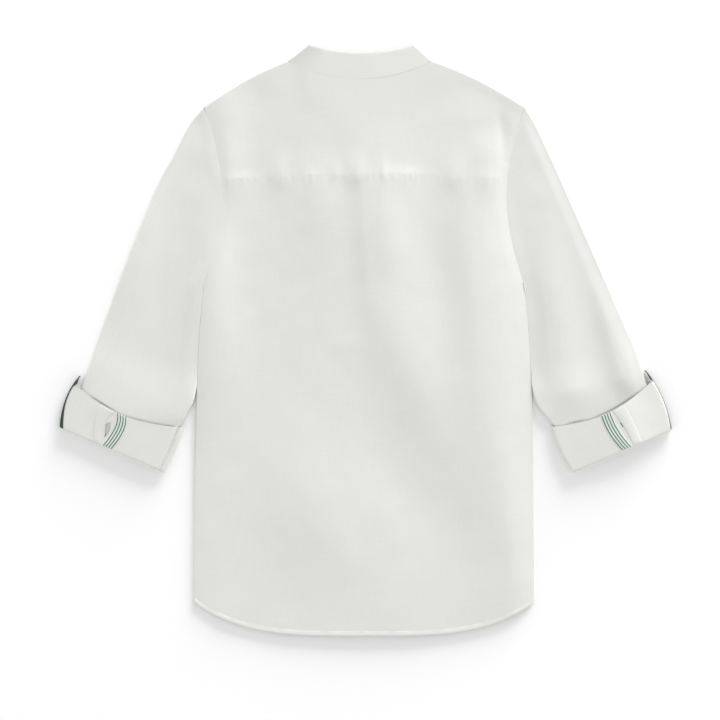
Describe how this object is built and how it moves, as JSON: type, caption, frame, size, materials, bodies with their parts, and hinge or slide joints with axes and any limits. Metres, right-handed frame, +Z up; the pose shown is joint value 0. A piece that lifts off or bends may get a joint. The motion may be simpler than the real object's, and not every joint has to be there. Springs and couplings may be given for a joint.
{
  "type": "mandarin collar shirt",
  "caption": "Long-sleeved linen shirt with a mandarin collar, back yoke and turned-up cuffs with striped tape, laid flat on its front with the back upwards.",
  "frame": {"origin": "on the surface that the shirt lies on, under the middle of its whole outline", "axes": "+Z up, out of the back of the shirt; +Y from the hem towards the collar; +X towards the wearer's right sleeve"},
  "size_m": [0.8467, 0.8174, 0.0119],
  "materials": {
    "linen": "matt off-white linen plain weave",
    "striped_tape": "cotton tape with dark green stripes on white",
    "tab_tape": "grey green cotton tape",
    "button": "pearly white, polished"
  },
  "bodies": {
    "root": {"back": "linen", "yoke": "linen", "front_left": "linen", "front_right": "linen", "collar": "linen", "sleeve_left": "linen", "sleeve_right": "linen", "cuff_left": "linen", "cuff_right": "linen", "placket_left": "linen", "placket_right": "linen", "tape_left": "striped_tape", "tape_right": "striped_tape", "tab_left": "tab_tape", "tab_right": "tab_tape", "button_1": "button", "button_2": "button", "button_3": "button", "button_4": "button", "button_5": "button", "button_6": "button", "button_7": "button"}
  },
  "joints": []
}
